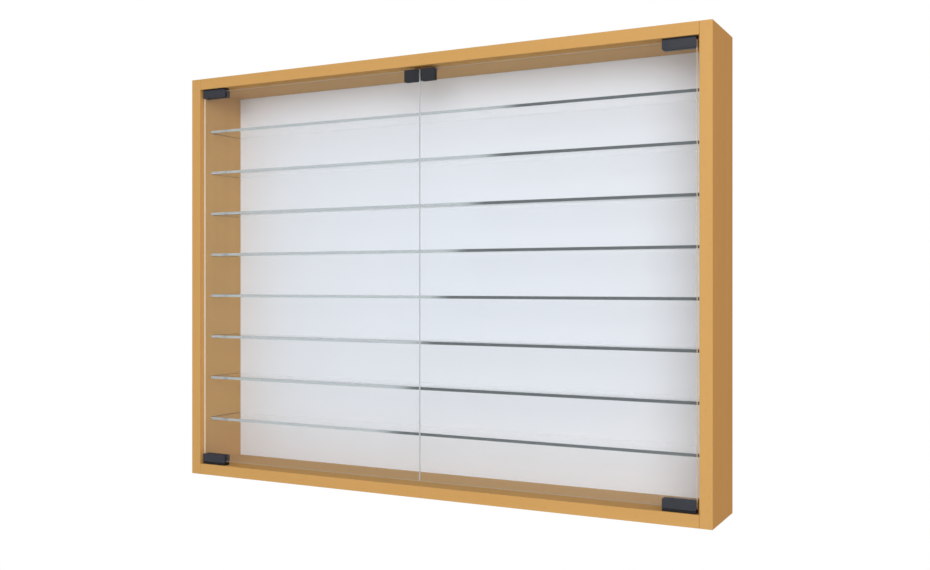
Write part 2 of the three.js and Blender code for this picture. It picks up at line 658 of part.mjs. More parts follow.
function latch() {
  const group = new THREE.Group();
  const z = plungerZ();
  group.add(piece('latch_housing', latchHousing(), brownPlastic));
  const flangeRear = PLUNGER_FRONT + PLUNGER_STANDOUT + LATCH_LIP + CLEARANCE + PLUNGER_FLANGE;
  const springStart = flangeRear + CLEARANCE;
  const springLength = LATCH_BORE_END - CLEARANCE - springStart;
  for (const [sideName, side] of Object.entries(SIDES)) {
    const x = side * PLUNGER_SPACING / 2;
    const magnet = rod(MAGNET_RADIUS, MAGNET_THICKNESS, '+y', 0, 0, 0);
    const screwX = side * LATCH_SCREW_SPACING / 2;
    const screwZ = boardZ(1, -LATCH_TAB_THICKNESS);
    group.add(piece(`latch_plunger_${sideName}`, latchPlunger(), blackPlastic, x, PLUNGER_FRONT, z));
    group.add(piece(`latch_magnet_${sideName}`, magnet, magnetBlack, x, PLUNGER_FRONT, z));
    group.add(piece(`latch_spring_${sideName}`, latchSpring(springLength), brightSteel, x, springStart, z));
    group.add(piece(`latch_screw_${sideName}`, latchScrew(), brightSteel, screwX, LATCH_SCREW_Y, screwZ));
  }
  return group;
}

// ---- The whole showcase

const showcase = new THREE.Group();
showcase.add(piece('back_panel', backPanel(), whiteBoard));
for (const number of shelfNumbers()) {
  showcase.add(piece(`glass_shelf_${number}`, shelf(), clearGlass, 0, 0, shelfHeight(number)));
}
for (const [levelName, level] of Object.entries(LEVELS)) {
  showcase.add(piece(`${levelName}_panel`, levelPanel(level), beech));
}
for (const [sideName, side] of Object.entries(SIDES)) {
  showcase.add(piece(`side_panel_${sideName}`, sidePanel(side), beech));
  const hangerX = side * (HALF_WIDTH - HANGER_FROM_OUTSIDE);
  showcase.add(piece(`hanger_plate_${sideName}`, hangerPlate(), brightSteel, hangerX, 0, HANGER_CENTRE_Z));
  for (const [levelName, level] of Object.entries(LEVELS)) {
    showcase.add(...cornerJoint(sideName, side, levelName, level));
    showcase.add(piece(`hinge_bearing_${levelName}_${sideName}`, pivotBearing(side, level), blackPlastic,
      side * PIVOT_X, PIVOT_Y, boardZ(level, 0)));
    showcase.add(piece(`hanger_screw_${levelName}_${sideName}`, hangerScrew(), brightSteel,
      hangerX, REAR, HANGER_CENTRE_Z + level * HANGER_SCREW_REACH));
  }
  showcase.add(door(sideName, side));
}
showcase.add(latch());

export default showcase;
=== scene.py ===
"""Looks of the wall mounted showcase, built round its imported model.

The model's frame: +X to the right, +Y towards the wall, +Z up, the origin under the middle of the
cabinet. Shapes are made in millimetres and brought to metres when a piece is fitted. "side" is -1 for
the left and +1 for the right, "level" is -1 for the bottom board and +1 for the top board.
"""

import json
import math

import bmesh
import bpy
from mathutils import Matrix, Vector

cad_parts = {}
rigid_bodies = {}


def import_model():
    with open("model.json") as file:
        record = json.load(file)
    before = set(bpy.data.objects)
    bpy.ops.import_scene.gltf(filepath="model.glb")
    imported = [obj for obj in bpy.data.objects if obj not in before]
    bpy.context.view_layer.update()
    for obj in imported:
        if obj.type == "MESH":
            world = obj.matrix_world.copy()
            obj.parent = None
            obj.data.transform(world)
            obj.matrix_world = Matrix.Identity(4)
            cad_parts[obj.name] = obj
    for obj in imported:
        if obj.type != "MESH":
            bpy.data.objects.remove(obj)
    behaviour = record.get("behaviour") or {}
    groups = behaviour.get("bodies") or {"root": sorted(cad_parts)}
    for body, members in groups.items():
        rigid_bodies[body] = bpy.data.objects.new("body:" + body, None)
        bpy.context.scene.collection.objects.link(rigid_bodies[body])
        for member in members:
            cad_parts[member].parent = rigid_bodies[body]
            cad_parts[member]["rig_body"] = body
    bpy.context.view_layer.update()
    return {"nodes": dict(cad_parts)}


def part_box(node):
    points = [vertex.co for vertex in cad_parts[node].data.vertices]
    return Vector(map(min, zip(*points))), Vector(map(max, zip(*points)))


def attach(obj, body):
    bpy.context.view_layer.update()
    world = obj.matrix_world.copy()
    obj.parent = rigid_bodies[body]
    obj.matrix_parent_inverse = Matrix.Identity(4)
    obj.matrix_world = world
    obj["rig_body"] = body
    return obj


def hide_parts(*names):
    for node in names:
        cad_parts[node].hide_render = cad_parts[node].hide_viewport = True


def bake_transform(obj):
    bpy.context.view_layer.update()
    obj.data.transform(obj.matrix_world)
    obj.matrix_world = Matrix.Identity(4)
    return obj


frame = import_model()

MM = 0.001
SIDES = {"left": -1, "right": 1}
LEVELS = {"top": 1, "bottom": -1}
SHELVES = range(1, 9)
CLEARANCE = 0.3
ROUND_STEPS = 48
UP = Vector((0, 0, 1))

# ---------------------------------------------------------------- finishes


class Value:
    """A socket that carries a number, a colour or a vector. Sums with numbers add Math nodes."""

    def __init__(self, finish, socket):
        self.finish = finish
        self.socket = socket

    def math(self, operation, first, second):
        return self.finish.node("Math", {"operation": operation}, {0: first, 1: second})

    def __add__(self, other):
        return self.math("ADD", self, other)

    def __sub__(self, other):
        return self.math("SUBTRACT", self, other)

    def __rsub__(self, other):
        return self.math("SUBTRACT", other, self)

    def __mul__(self, other):
        return self.math("MULTIPLY", self, other)

    __radd__ = __add__
    __rmul__ = __mul__


class Finish:
    """The nodes of one material, or of the world."""

    def __init__(self, owner):
        owner.use_nodes = True
        self.owner = owner
        self.tree = owner.node_tree
        self.tree.nodes.clear()

    def node(self, kind, settings=(), sockets=(), out=0):
        """Adds a node: its settings come first, then the values or links of its sockets."""
        made = self.tree.nodes.new("ShaderNode" + kind)
        for key, value in dict(settings).items():
            if key == "stops":
                set_stops(made.color_ramp, value)
            else:
                setattr(made, key, value)
        for key, value in dict(sockets).items():
            if isinstance(value, Value):
                self.tree.links.new(value.socket, made.inputs[key])
            else:
                made.inputs[key].default_value = value
        return Value(self, made.outputs[out]) if made.outputs else None

    def place(self, stretch=(1, 1, 1)):
        """Position on the piece, in metres, drawn out along its grain."""
        place = self.node("TexCoord", out="Object")
        return self.node("VectorMath", {"operation": "MULTIPLY"}, {0: place, 1: stretch})

    def noise(self, place, scale, detail=2.0, roughness=0.5):
        sockets = {"Vector": place, "Scale": scale, "Detail": detail, "Roughness": roughness}
        return self.node("TexNoise", sockets=sockets)

    def ramp(self, value, *stops):
        """The value re-drawn through a ramp of grey stops, each a position and a brightness."""
        return self.node("ValToRGB", {"stops": stops}, {"Fac": value})

    def mix(self, share, first, second):
        sockets = {0: share, 6: colour(first), 7: colour(second)}
        return self.node("Mix", {"data_type": "RGBA"}, sockets, out=2)

    def bump(self, height, distance, strength=1.0):
        return self.node("Bump", sockets={"Height": height, "Distance": distance, "Strength": strength})

    def surface(self, shader):
        output = "OutputWorld" if isinstance(self.owner, bpy.types.World) else "OutputMaterial"
        self.node(output, sockets={"Surface": shader})
        return self.owner

    def principled(self, **sockets):
        """A Principled shader, its sockets named with underscores for spaces."""
        named = {key.replace("_", " "): value for key, value in sockets.items()}
        return self.node("BsdfPrincipled", sockets=named)


def set_stops(ramp, stops):
    while len(ramp.elements) < len(stops):
        ramp.elements.new(1.0)
    for element, (position, brightness) in zip(ramp.elements, stops):
        element.position = position
        element.color = (brightness, brightness, brightness, 1)


def colour(value):
    return (*value, 1.0) if isinstance(value, tuple) else value


def new_finish(name):
    return Finish(bpy.data.materials.new(name))


BEECH_LIGHT = (0.63, 0.365, 0.128)
BEECH_DARK = (0.54, 0.296, 0.094)
BEECH_FLECK = (0.40, 0.21, 0.06)
# Painted shade: a darker, less saturated copy of the beech for the outer faces of the sides.
SHADED_OUTER_LIGHT = (0.59, 0.30, 0.094)
SHADED_OUTER_DARK = (0.50, 0.245, 0.07)
# The print's scale along a board, as a share of its scale across. A smaller share draws it out more.
FIBRE_ALONG = 0.035
FLECK_ALONG = 4 * FIBRE_ALONG


def beech_laminate(name, upright, light=BEECH_LIGHT, dark=BEECH_DARK):
    """Printed beech with fine fibres, broad streaks and short flecks along the board."""
    f = new_finish(name)
    long, short = [(1, 1, share) if upright else (share, 1, 1) for share in (FIBRE_ALONG, FLECK_ALONG)]
    fibre = f.noise(f.place(long), 900.0, 3.0)
    streak = f.noise(f.place(long), 60.0, 2.0)
    fleck = f.ramp(f.noise(f.place(short), 520.0, 1.0), (0.66, 0), (0.74, 1))
    cloud = f.noise(f.place(), 9.0, 1.0)
    wood = f.mix(streak * 0.55 + fibre * 0.3 + cloud * 0.15, light, dark)
    shown = f.mix(fleck * 0.35, wood, BEECH_FLECK)
    grain = f.bump(fibre + fleck * -0.6, 0.00003, 0.5)
    return f.surface(
        f.principled(
            Base_Color=shown,
            Roughness=fibre * 0.12 + 0.55,
            Specular_IOR_Level=0.02,
            Normal=grain,
        )
    )


def raw_chipboard():
    """Sawn chipboard: pressed chips of several browns with open pores between them."""
    f = new_finish("raw_chipboard")
    chips = f.node("TexVoronoi", sockets={"Vector": f.place(), "Scale": 620.0}, out="Color")
    shade = f.node("SeparateColor", sockets={"Color": chips})
    grit = f.noise(f.place(), 1900.0, 2.0)
    pores = f.ramp(f.noise(f.place(), 800.0, 2.0), (0.3, 0), (0.42, 1))
    chip = f.mix(shade, (0.42, 0.27, 0.14), (0.62, 0.45, 0.27))
    return f.surface(
        f.principled(
            Base_Color=f.mix(pores, (0.2, 0.12, 0.06), chip),
            Roughness=grit * 0.1 + 0.82,
            Normal=f.bump(pores + grit * 0.5, 0.0002, 0.8),
        )
    )


def white_lacquer():
    """White lacquered hardboard, faintly orange-peeled."""
    f = new_finish("white_lacquer")
    peel = f.noise(f.place(), 420.0, 2.0)
    cloud = f.noise(f.place(), 6.0, 2.0)
    return f.surface(
        f.principled(
            Base_Color=f.mix(cloud, (0.845, 0.885, 0.975), (0.87, 0.905, 0.985)),
            Roughness=peel * 0.1 + 0.42,
            Normal=f.bump(peel, 0.00004, 0.4),
        )
    )


def hardboard():
    """The bare rear of hardboard: brown felted fibres with a faint screen mark."""
    f = new_finish("hardboard")
    felt = f.noise(f.place(), 700.0, 4.0, 0.7)
    cloud = f.noise(f.place(), 12.0, 2.0)
    bands = {"Vector": f.place(), "Scale": 180.0, "Distortion": 1.0}
    screen = f.node("TexWave", {"wave_type": "BANDS"}, bands)
    return f.surface(
        f.principled(
            Base_Color=f.mix(felt * 0.6 + cloud * 0.4, (0.30, 0.17, 0.085), (0.43, 0.27, 0.15)),
            Roughness=felt * 0.12 + 0.7,
            Normal=f.bump(felt + screen * 0.3, 0.0001, 0.6),
        )
    )


GLASS_TINT = (0.986, 0.99, 0.988)
GLASS_IOR = 1.5
HAZE_DIMS = 0.985
# How much a pane mirrors head on, and how late that grows towards a flat angle.
HEAD_ON = 0.04
GRAZING_POWER = 5.0
# The shelves' front edges get painted shade, dark grey, past this distance right of the middle, at half
# height. The change is spread over a blend to either side, and lies further right by a share of the height.
SHADE_PAINTED_PAST = 0.028
SHADE_PAINTED_BLEND = 0.022
SHADE_PAINTED_LEAN = 0.42
HALF_HEIGHT = 0.3


def clear_glass():
    """Float glass that bends what is seen through it. Lamps and soft light pass straight through."""
    f = new_finish("shelf_glass")
    haze = f.ramp(f.noise(f.place(), 14.0, 3.0), (0.45, 0), (0.75, 1))
    glass = f.principled(
        Base_Color=f.mix(haze, GLASS_TINT, tuple(HAZE_DIMS * c for c in GLASS_TINT)),
        Roughness=0.0,
        IOR=GLASS_IOR,
        Transmission_Weight=1.0,
    )
    return f.surface(let_light_through(f, glass))


def flat_pane():
    """Float glass so flat that nothing behind it moves, with a reflection that grows at a flat angle."""
    f = new_finish("door_glass")
    haze = f.ramp(f.noise(f.place(), 9.0, 3.0), (0.4, 0), (0.8, 1))
    grazing = f.node("LayerWeight", sockets={"Blend": 0.5}, out="Facing")
    flatness = f.node("Math", {"operation": "POWER"}, {0: grazing, 1: GRAZING_POWER})
    mirrored = flatness * (1 - HEAD_ON) + HEAD_ON
    seen = f.node("BsdfTransparent", sockets={"Color": colour(GLASS_TINT)})
    gloss = f.node("BsdfGlossy", sockets={"Color": (1, 1, 1, 1), "Roughness": haze * 0.03 + 0.02})
    return f.surface(let_light_through(f, f.node("MixShader", sockets={0: mirrored, 1: seen, 2: gloss})))


def let_light_through(f, glass):
    """Glass to the eye, open air to the light that falls through it."""
    lamp = f.node("LightPath", out="Is Shadow Ray")
    soft = f.node("LightPath", out="Is Diffuse Ray")
    passes = f.node("Math", {"operation": "MAXIMUM"}, {0: lamp, 1: soft})
    open_air = f.node("BsdfTransparent", sockets={"Color": colour(GLASS_TINT)})
    return f.node("MixShader", sockets={0: passes, 1: glass, 2: open_air})


def ground_edge(name, light, dark, glow=(0, 0, 0), clear_inside=False):
    """Finely ground edge of a door pane, with some of the light that runs inside the glass and a painted glow
    where one is given. An edge that is clear inside doesn't show through its own pane."""
    f = new_finish(name)
    grind = f.noise(f.place(), 1400.0, 2.0)
    # The emission is a painted glow.
    matt = f.principled(
        Base_Color=f.mix(grind, dark, light),
        Roughness=grind * 0.2 + 0.4,
        Normal=f.bump(grind, 0.00005, 0.5),
        Emission_Color=colour(glow),
        Emission_Strength=1.0,
    )
    lit_through = f.node("BsdfTranslucent", sockets={"Color": colour(light)})
    edge = f.node("MixShader", sockets={0: 0.5, 1: matt, 2: lit_through})
    if clear_inside:
        inside = f.node("NewGeometry", out="Backfacing")
        clear = f.node("BsdfTransparent", sockets={"Color": colour(GLASS_TINT)})
        edge = f.node("MixShader", sockets={0: inside, 1: edge, 2: clear})
    return f.surface(edge)


def shelf_front_shade_painted():
    """Polished front edge of a shelf: pale and half clear on the left, with painted shade on the right, the
    change further right on a higher shelf."""
    f = new_finish("shelf_front_shade_painted")
    polish = f.noise(f.place((0.2, 1, 1)), 500.0, 2.0)
    across = f.node("SeparateXYZ", sockets={"Vector": f.place()}, out="X")
    height = f.node("SeparateXYZ", sockets={"Vector": f.place()}, out="Z")
    past = across - height * SHADE_PAINTED_LEAN + SHADE_PAINTED_LEAN * HALF_HEIGHT
    # Painted shade: the right part of the edge is painted dark grey, set by position on the piece.
    dark = f.node(
        "MapRange",
        {"interpolation_type": "SMOOTHSTEP"},
        {"Value": past, "From Min": SHADE_PAINTED_PAST - SHADE_PAINTED_BLEND, "From Max": SHADE_PAINTED_PAST + SHADE_PAINTED_BLEND},
    )
    pale = f.mix(polish, (0.28, 0.345, 0.355), (0.34, 0.405, 0.415))
    matt = f.principled(
        Base_Color=f.mix(dark, pale, (0.095, 0.115, 0.125)),
        Roughness=polish * 0.1 + 0.2,
        Specular_IOR_Level=0.3,
        Normal=f.bump(polish, 0.00002, 0.5),
    )
    glass = f.principled(Base_Color=colour(GLASS_TINT), Roughness=0.0, IOR=GLASS_IOR, Transmission_Weight=1.0)
    clear = let_light_through(f, glass)
    return f.surface(f.node("MixShader", sockets={0: dark * 0.45 + 0.55, 1: clear, 2: matt}))


def black_moulding(name, light, dark):
    """Black moulded plastic with a fine spark-eroded texture."""
    f = new_finish(name)
    texture = f.noise(f.place(), 2600.0, 2.0)
    rub = f.noise(f.place(), 90.0, 3.0)
    return f.surface(
        f.principled(
            Base_Color=f.mix(rub, dark, light),
            Roughness=rub * 0.12 + 0.3,
            Specular_IOR_Level=0.3,
            Normal=f.bump(texture, 0.00003, 0.5),
        )
    )


def black_coating():
    """Powder coated sheet steel."""
    f = new_finish("black_coating")
    peel = f.noise(f.place(), 1500.0, 1.0)
    rub = f.noise(f.place(), 70.0, 3.0)
    return f.surface(
        f.principled(
            Base_Color=f.mix(rub, (0.012, 0.0135, 0.018), (0.019, 0.021, 0.027)),
            Roughness=rub * 0.12 + 0.32,
            Specular_IOR_Level=0.35,
            Normal=f.bump(peel, 0.00005, 0.5),
        )
    )


def moulding(name, light, dark, roughness):
    """Moulded plastic in one colour, faintly mottled."""
    f = new_finish(name)
    texture = f.noise(f.place(), 2200.0, 2.0)
    mottle = f.noise(f.place(), 150.0, 2.0)
    return f.surface(
        f.principled(
            Base_Color=f.mix(mottle, light, dark),
            Roughness=mottle * 0.1 + roughness,
            Normal=f.bump(texture, 0.00003, 0.5),
        )
    )


def metal(name, light, dark, roughness):
    """Plated or cast metal with tool marks or cast grain."""
    f = new_finish(name)
    marks = f.noise(f.place(), 1800.0, 2.0)
    tarnish = f.noise(f.place(), 260.0, 3.0)
    return f.surface(
        f.principled(
            Base_Color=f.mix(tarnish, light, dark),
            Metallic=1.0,
            Roughness=marks * 0.15 + tarnish * 0.1 + roughness,
            Normal=f.bump(marks, 0.00003, 0.5),
        )
    )


def peg_wood():
    """Turned beech of the pegs, with end grain pores."""
    f = new_finish("peg_wood")
    fibre = f.noise(f.place((0.08, 1, 1)), 1500.0, 3.0)
    return f.surface(
        f.principled(
            Base_Color=f.mix(fibre, (0.66, 0.46, 0.26), (0.5, 0.32, 0.16)),
            Roughness=fibre * 0.15 + 0.6,
            Normal=f.bump(fibre, 0.00008, 0.7),
        )
    )


upright_laminate = beech_laminate("upright_laminate", upright=True)
shaded_outer_laminate = beech_laminate("shaded_outer_laminate", upright=True, light=SHADED_OUTER_LIGHT, dark=SHADED_OUTER_DARK)
level_laminate = beech_laminate("level_laminate", upright=False)
chipboard = raw_chipboard()
white_face = white_lacquer()
brown_rear = hardboard()
shelf_glass = clear_glass()
# The shelves' front edges carry painted shade on their right part.
shelf_edge = shelf_front_shade_painted()
door_glass = flat_pane()
# Lit and shaded copies of one ground edge: the meeting edges plain grey, the outer edges painted bright cream
# with a painted warm glow, the top and bottom edges painted darker and browner as painted shade.
meeting_edge = ground_edge("meeting_edge", (0.77, 0.80, 0.82), (0.72, 0.75, 0.77), clear_inside=True)
painted_lit_outer_edge = ground_edge("painted_lit_outer_edge", (0.96, 0.91, 0.82), (0.90, 0.85, 0.76), glow=(0.22, 0.13, 0.05))
painted_shade_level_edge = ground_edge("painted_shade_level_edge", (0.66, 0.62, 0.54), (0.58, 0.54, 0.47))
plastic_black = black_moulding("plastic_black", (0.034, 0.036, 0.047), (0.023, 0.025, 0.034))
# Painted shade: a near-black copy of the black plastic for the bearings, in the dark gap under the clamps.
shaded_bearing_black = black_moulding("shaded_bearing_black", (0.006, 0.006, 0.007), (0.003, 0.003, 0.004))
coated_steel = black_coating()
plastic_brown = moulding("plastic_brown", (0.34, 0.17, 0.07), (0.29, 0.142, 0.057), 0.45)
bright_steel = metal("bright_steel", (0.66, 0.68, 0.7), (0.52, 0.54, 0.56), 0.18)
cast_zinc = metal("cast_zinc", (0.5, 0.51, 0.53), (0.38, 0.39, 0.41), 0.32)
dark_magnet = metal("dark_magnet", (0.12, 0.12, 0.13), (0.08, 0.08, 0.09), 0.35)
beech_peg = peg_wood()

# ---------------------------------------------------------------- shapes, in millimetres

# How far a cutter starts outside the piece that it cuts.
OUTSIDE = 1
# A face looks along an axis when that part of its normal is larger than this.
SQUARE_ON = 0.9
# Shading is smooth where faces meet at less than this angle, in degrees.
SMOOTH_BELOW = 35
# Where a screw thread's flank, crest and second flank end, as shares of its pitch.
THREAD_RISE = 0.4
THREAD_CREST = 0.55
THREAD_FALL = 0.95


def shape(bm, *finishes):
    """An object from a built mesh, which is then used up."""
    bmesh.ops.recalc_face_normals(bm, faces=bm.faces)
    mesh = bpy.data.meshes.new("shape")
    bm.to_mesh(mesh)
    bm.free()
    made = bpy.data.objects.new("shape", mesh)
    bpy.context.scene.collection.objects.link(made)
    for finish in finishes:
        mesh.materials.append(finish)
    return made


def bevel_edges(bm, edges, width, steps):
    bmesh.ops.bevel(bm, geom=list(edges), offset=width, segments=steps, profile=0.5, affect="EDGES")


def block(low, high, finish, arris=0.0, steps=3):
    """A block between two corners, given in either order, with its edges rounded over."""
    size = [abs(b - a) for a, b in zip(low, high)]
    middle = (Vector(low) + Vector(high)) / 2
    bm = bmesh.new()
    bmesh.ops.create_cube(bm, size=1, matrix=Matrix.Translation(middle) @ Matrix.Diagonal((*size, 1)))
    if arris:
        bevel_edges(bm, bm.edges, arris, steps)
    return shape(bm, finish)


def turned(profile, finish, flute=0.0, steps=ROUND_STEPS):
    """A turned piece along +Z from pairs of radius and distance. Every second line is cut in by the flute."""
    bm = bmesh.new()
    rings = []
    for radius, along in profile:
        if radius == 0:
            rings.append([bm.verts.new((0, 0, along))] * steps)
            continue
        ring = []
        for i in range(steps):
            angle = math.tau * i / steps
            reach = radius - flute * (i % 2)
            ring.append(bm.verts.new((reach * math.cos(angle), reach * math.sin(angle), along)))
        rings.append(ring)
    for ring, following in zip(rings, rings[1:]):
        for i in range(steps):
            j = (i + 1) % steps
            corners = dict.fromkeys((ring[i], ring[j], following[j], following[i]))
            if len(corners) > 2:
                bm.faces.new(corners)
    return shape(bm, finish)


def drawn(near, far, finish):
    """A bar drawn from one outline to the matching one at its other end."""
    bm = bmesh.new()
    ends = [[bm.verts.new(point) for point in outline] for outline in (near, far)]
    for end in ends:
        bm.faces.new(end)
    count = len(near)
    for i in range(count):
        j = (i + 1) % count
        bm.faces.new((ends[0][i], ends[0][j], ends[1][j], ends[1][i]))
    return shape(bm, finish)


def rounded(corners, radii, steps=6):
    """An outline through 2D corners, each rounded by its radius."""
    points = []
    for i, (corner, radius) in enumerate(zip(corners, radii)):
        corner = Vector(corner)
        before = (Vector(corners[i - 1]) - corner).normalized()
        after = (Vector(corners[(i + 1) % len(corners)]) - corner).normalized()
        if not radius:
            points.append(corner)
            continue
        half = before.angle(after) / 2
        centre = corner + (before + after).normalized() * radius / math.sin(half)
        start = corner + before * radius / math.tan(half) - centre
        turn = (math.pi - 2 * half) * (1 if before.cross(after) < 0 else -1)
        for step in range(steps + 1):
            points.append(centre + Matrix.Rotation(turn * step / steps, 2) @ start)
    return points


def rectangle(width, height, radius, centre=(0, 0)):
    x, z = width / 2, height / 2
    corners = [(centre[0] + u * x, centre[1] + v * z) for u, v in ((-1, -1), (1, -1), (1, 1), (-1, 1))]
    return rounded(corners, [radius] * 4)


def plate(outline, front, rear, finish):
    """An outline in the X-Z plane as a plate between two planes on Y."""
    return drawn([(u, front, v) for u, v in outline], [(u, rear, v) for u, v in outline], finish)


def softened(piece, width, steps=2, angle=40):
    """Rounds over the edges where faces meet at more than an angle in degrees."""
    bm = bmesh.new()
    bm.from_mesh(piece.data)
    sharp = [e for e in bm.edges if len(e.link_faces) == 2 and e.calc_face_angle() > math.radians(angle)]
    bevel_edges(bm, sharp, width, steps)
    bm.to_mesh(piece.data)
    bm.free()
    return piece


def moved(piece, start, way=UP):
    """Turns a shape made along +Z to point another way, and sets it down at a start."""
    turn = UP.rotation_difference(Vector(way)).to_matrix().to_4x4()
    piece.data.transform(Matrix.Translation(start) @ turn)
    return piece


def worked(piece, others, operation):
    """Cuts the others out of a piece, or joins them to it. Faces that a cutter leaves take its finish."""
    for other in others:
        step = piece.modifiers.new("step", "BOOLEAN")
        step.operation = operation
        step.solver = "EXACT"
        step.material_mode = "TRANSFER"
        step.object = other
    finished = piece.evaluated_get(bpy.context.evaluated_depsgraph_get())
    mesh = bpy.data.meshes.new_from_object(finished)
    piece.modifiers.clear()
    piece.data = mesh
    for other in others:
        bpy.data.objects.remove(other)
    return piece


def cut(piece, *cutters):
    return worked(piece, cutters, "DIFFERENCE")


def joined(piece, *others):
    return worked(piece, others, "UNION")


def refaced(piece, finish, chosen):
    """Gives another finish to the faces that are chosen by their normal."""
    mesh = piece.data
    mesh.materials.append(finish)
    for face in mesh.polygons:
        if chosen(face.normal):
            face.material_index = len(mesh.materials) - 1
    return piece


def fitted(piece, name, node):
    """Brings a shape to metres and lets it stand for a node of the model, on that node's body."""
    mesh = piece.data
    mesh.transform(Matrix.Scale(MM, 4))
    mesh.shade_smooth()
    mesh.set_sharp_from_angle(angle=math.radians(SMOOTH_BELOW))
    piece.modifiers.new("flat faces", "WEIGHTED_NORMAL").keep_sharp = True
    piece.name = mesh.name = name
    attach(piece, frame["nodes"][node]["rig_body"])
    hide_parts(node)
    return piece


def room(node):
    """Lowest and highest corner of a node of the model."""
    low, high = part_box(node)
    return low / MM, high / MM


def middle(node):
    low, high = room(node)
    return (low + high) / 2


def rod(radius, start, way, length, finish):
    return moved(turned([(0, 0), (radius, 0), (radius, length), (0, length)], finish), start, way)


def bore(radius, mouth, way, depth, finish):
    """Cutter for a blind hole that runs a way from its mouth."""
    way = Vector(way)
    return rod(radius, Vector(mouth) - way * OUTSIDE, way, depth + OUTSIDE, finish)


def cross_recess(span, width, depth, finish):
    """Two crossed cutters, sunk from the plane Z = 0."""
    return [
        block((-u / 2, -v / 2, -depth), (u / 2, v / 2, OUTSIDE), finish)
        for u, v in ((span, width), (width, span))
    ]


def thread(outer, inner, start, end, pitch):
    """Profile of a screw thread along a turned piece."""
    turns = int(abs(end - start) / pitch)
    step = (end - start) / turns
    points = []
    for i in range(turns):
        at = start + step * i
        points += [(inner, at), (outer, at + step * THREAD_RISE)]
        points += [(outer, at + step * THREAD_CREST), (inner, at + step * THREAD_FALL)]
    return points


# ---------------------------------------------------------------- cabinet

BOARD_ARRIS = 0.5
BACK_ARRIS = 0.25
SHELF_ARRIS = 0.35
# How far the white face and the shelves' edges reach over their arris, as a part of the normal.
WHITE_ON = 0.5
SHELF_EDGE_ON = 0.3
# How much deeper and longer the back panel's groove is than the panel.
GROOVE_DEEPER = 0.4
GROOVE_LONGER = 0.5
BOLT_HOLE_RADIUS = 2.8
BOLT_HOLE_DEPTH = 11.5
BOLT_PASSAGE_RADIUS = 4.3
BOLT_PASSAGE_DEPTH = 23.0
PEG_HOLE_RADIUS = 4.3
PEG_HOLE_IN_SIDE = 10.0
PEG_HOLE_IN_LEVEL = 19.5
CAM_HOLE_RADIUS = 7.7
CAM_HOLE_DEPTH = 13.8
BOSS_HOLE_RADIUS = 4.2
BOSS_HOLE_DEPTH = 10.3
LATCH_PILOT_RADIUS = 1.6
LATCH_PILOT_DEPTH = 10.5
HANGER_PILOT_RADIUS = 1.8
HANGER_PILOT_LENGTH = 15
# The room for the wall screw's head behind a hanger plate, lower than the plate's middle.
HEAD_ROOM_WIDTH = 8.6
HEAD_ROOM_HEIGHT = 21.6
HEAD_ROOM_CORNER = 4.2
HEAD_ROOM_LOWER = 0.5


def side_board(name, side):
    node = f"side_panel_{name}"
    low, high = room(node)
    inner = low.x if side > 0 else high.x
    inward = inner - side * OUTSIDE
    board = block(low, high, upright_laminate, arris=BOARD_ARRIS)
    # The outer face gets the copy of the beech with painted shade.
    refaced(board, shaded_outer_laminate, lambda normal: normal.x * side > SQUARE_ON)
    refaced(board, chipboard, lambda normal: normal.y > SQUARE_ON)
    back_low, back_high = room("back_panel")
    reach = (back_high.x + GROOVE_DEEPER) * side
    cutters = [
        block(
            (inward, back_low.y - CLEARANCE, back_low.z - GROOVE_LONGER),
            (reach, back_high.y + CLEARANCE, back_high.z + GROOVE_LONGER),
            chipboard,
        )
    ]
    for number in SHELVES:
        shelf_low, shelf_high = room(f"glass_shelf_{number}")
        cutters.append(
            block(
                (inward, shelf_low.y - CLEARANCE, shelf_low.z - CLEARANCE),
                (reach, back_low.y, shelf_high.z + CLEARANCE),
                chipboard,
            )
        )
    plate_low, plate_high = room(f"hanger_plate_{name}")
    gap = Vector((CLEARANCE, CLEARANCE, CLEARANCE))
    cutters.append(block(plate_low - gap, plate_high + gap + Vector((0, OUTSIDE, 0)), chipboard))
    centre = middle(f"hanger_plate_{name}")
    head_room = rectangle(
        HEAD_ROOM_WIDTH, HEAD_ROOM_HEIGHT, HEAD_ROOM_CORNER, (centre.x, centre.z - HEAD_ROOM_LOWER)
    )
    cutters.append(plate(head_room, back_low.y - OUTSIDE, high.y, chipboard))
    for level_name in LEVELS:
        corner = f"{level_name}_{name}"
        bolt_at = middle(f"cam_bolt_{corner}")
        peg_at = middle(f"dowel_{corner}")
        screw = middle(f"hanger_screw_{corner}")
        into = (side, 0, 0)
        cutters += [
            bore(BOLT_HOLE_RADIUS, (inner, bolt_at.y, bolt_at.z), into, BOLT_HOLE_DEPTH, chipboard),
            bore(PEG_HOLE_RADIUS, (inner, peg_at.y, peg_at.z), into, PEG_HOLE_IN_SIDE, chipboard),
            rod(HANGER_PILOT_RADIUS, (screw.x, high.y, screw.z), (0, -1, 0), HANGER_PILOT_LENGTH, chipboard),
        ]
    fitted(cut(board, *cutters), f"side_board_{name}", node)


